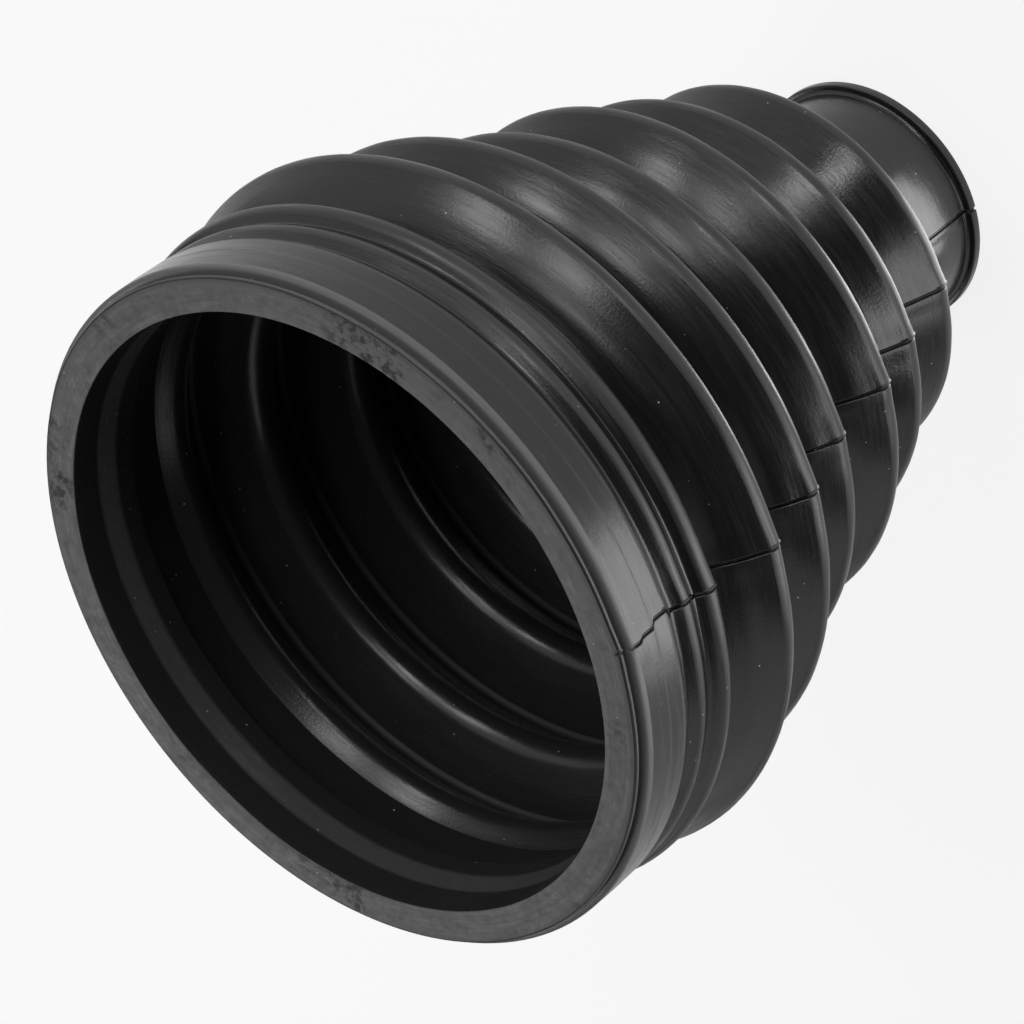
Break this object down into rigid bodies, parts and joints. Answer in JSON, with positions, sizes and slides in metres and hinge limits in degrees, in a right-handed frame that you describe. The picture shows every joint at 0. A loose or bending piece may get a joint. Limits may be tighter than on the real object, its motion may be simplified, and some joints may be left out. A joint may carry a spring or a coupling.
{
  "type": "rubber bellows boot",
  "caption": "Tapered rubber bellows boot with a grooved clamp collar at the wide mouth, stepped folds, a plain neck with a thin end flange and a closed lengthwise split.",
  "frame": {"origin": "middle of the small end face, where the boot stands", "axes": "+Z along the axis from the small end up to the large mouth; the closed split faces -Y"},
  "size_m": [0.096, 0.096, 0.111],
  "materials": {
    "rubber": "satin moulded black rubber with fine mould streaks"
  },
  "bodies": {
    "root": {"bellows_boot": "rubber"}
  },
  "joints": []
}
